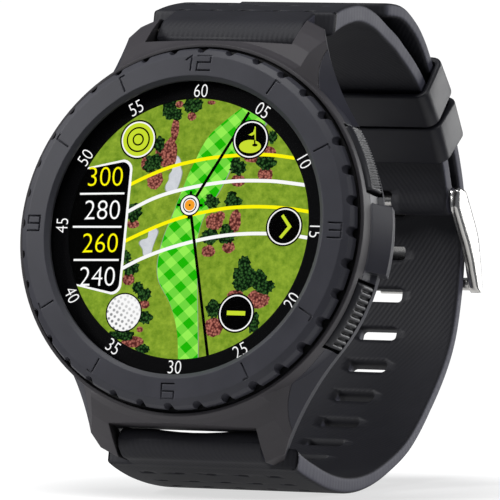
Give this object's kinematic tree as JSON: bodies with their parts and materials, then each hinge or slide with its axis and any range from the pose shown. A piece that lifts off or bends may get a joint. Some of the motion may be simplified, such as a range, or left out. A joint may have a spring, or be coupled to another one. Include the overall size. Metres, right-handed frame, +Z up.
{
  "type": "sports_watch",
  "caption": "Golf GPS watch with a round colour display showing a hole map, a notched bezel, two side buttons and a closed perforated silicone strap with a steel buckle",
  "frame": {"origin": "Middle of the bounding box in X and Y, on the lowest line of the strap loop", "axes": "+Z up towards 12 o'clock, -Y out of the dial (which leans back 11.5 degrees), +X towards 3 o'clock, the side with the buttons"},
  "size_m": [0.0529, 0.0754, 0.0663],
  "materials": {
    "dark_resin": "satin moulded, fine texture",
    "case_resin_warm": "fine spark-eroded texture",
    "case_resin_cool": "fine spark-eroded texture",
    "mineral_glass": "polished",
    "ring_print": "printed behind the glass",
    "seal_rubber": "matt",
    "display": "lit colour display",
    "thin_steel": "pressed sheet",
    "amber_film": "polyimide film",
    "frame_resin": "glass-filled, matt",
    "steel_parts": "turned",
    "ceramic": "fired ceramic",
    "board_green": "solder resist",
    "cell_wrap": "foil wrap",
    "switch_black": "matt",
    "white_resin": "matt",
    "button_resin": "cross-hatched or ribbed face",
    "sensor_glass": "dark window",
    "gold_contact": "gold plate",
    "strap_silicone": "matt with a woven-look outer face",
    "buckle_steel": "fine brushed"
  },
  "bodies": {
    "watch": {"bezel": "dark_resin", "glass": "mineral_glass", "dial_ring": "ring_print", "glass_seal": "seal_rubber", "display_panel": "display", "display_backing": "thin_steel", "display_ribbon": "amber_film", "case_top": "case_resin_warm", "case_middle": "case_resin_cool", "chassis": "frame_resin", "chassis_screws": "steel_parts", "gps_antenna": "ceramic", "circuit_board": "board_green", "shield_cans": "thin_steel", "battery": "cell_wrap", "vibration_motor": "thin_steel", "switch_upper": "switch_black", "switch_lower": "switch_black", "stem_seal_upper": "seal_rubber", "stem_seal_lower": "seal_rubber", "sensor_board": "board_green", "sensor_window": "sensor_glass", "charge_contacts": "gold_contact", "case_back": "case_resin_cool", "back_seal": "seal_rubber", "back_screws": "steel_parts", "bar_tube_12": "steel_parts", "bar_spring_12": "steel_parts", "bar_tube_6": "steel_parts", "bar_spring_6": "steel_parts", "strap_short": "strap_silicone", "strap_long": "strap_silicone", "keeper_fixed": "strap_silicone", "buckle_pin": "buckle_steel"},
    "button_upper": {"button_cap_upper": "button_resin", "button_stem_upper": "steel_parts", "stem_clip_upper": "steel_parts", "plunger_upper": "white_resin", "button_spring_upper": "steel_parts"},
    "button_lower": {"button_cap_lower": "button_resin", "button_stem_lower": "steel_parts", "stem_clip_lower": "steel_parts", "plunger_lower": "white_resin", "button_spring_lower": "steel_parts"},
    "free_keeper": {"keeper_free": "strap_silicone"},
    "buckle": {"buckle_frame": "buckle_steel"},
    "tongue": {"buckle_tongue": "buckle_steel"},
    "tip_12_left": {"bar_tip_12_left": "steel_parts"},
    "tip_12_right": {"bar_tip_12_right": "steel_parts"},
    "tip_6_left": {"bar_tip_6_left": "steel_parts"},
    "tip_6_right": {"bar_tip_6_right": "steel_parts"}
  },
  "joints": [
    {"name": "button_upper_press", "type": "slide", "parent": "watch", "child": "button_upper", "axis": [-0.9063, -0.0843, -0.4141], "range_m": [0, 0.0005], "stiffness_N_per_m": 1500, "springref_m": -0.0004},
    {"name": "button_lower_press", "type": "slide", "parent": "watch", "child": "button_lower", "axis": [-0.9063, 0.0843, 0.4141], "range_m": [0, 0.0005], "stiffness_N_per_m": 1500, "springref_m": -0.0004},
    {"name": "keeper_slide", "type": "slide", "parent": "watch", "child": "free_keeper", "axis": [0, -0.6753, 0.7375], "range_m": [0, 0.0015]},
    {"name": "buckle_swing", "type": "hinge", "parent": "watch", "child": "buckle", "pos_m": [-0.00066, 0.02956, 0.03858], "axis": [1, 0, 0], "range_deg": [0, 5]},
    {"name": "tongue_lift", "type": "hinge", "parent": "buckle", "child": "tongue", "pos_m": [-0.00066, 0.02956, 0.03858], "axis": [1, 0, 0], "range_deg": [0, 4.5]},
    {"name": "tip_12_left_retract", "type": "slide", "parent": "watch", "child": "tip_12_left", "axis": [1, 0, 0], "range_m": [0, 0.00125], "stiffness_N_per_m": 800, "springref_m": -0.0005},
    {"name": "tip_12_right_retract", "type": "slide", "parent": "watch", "child": "tip_12_right", "axis": [-1, 0, 0], "range_m": [0, 0.00125], "stiffness_N_per_m": 800, "springref_m": -0.0005},
    {"name": "tip_6_left_retract", "type": "slide", "parent": "watch", "child": "tip_6_left", "axis": [1, 0, 0], "range_m": [0, 0.00125], "stiffness_N_per_m": 800, "springref_m": -0.0005},
    {"name": "tip_6_right_retract", "type": "slide", "parent": "watch", "child": "tip_6_right", "axis": [-1, 0, 0], "range_m": [0, 0.00125], "stiffness_N_per_m": 800, "springref_m": -0.0005}
  ]
}
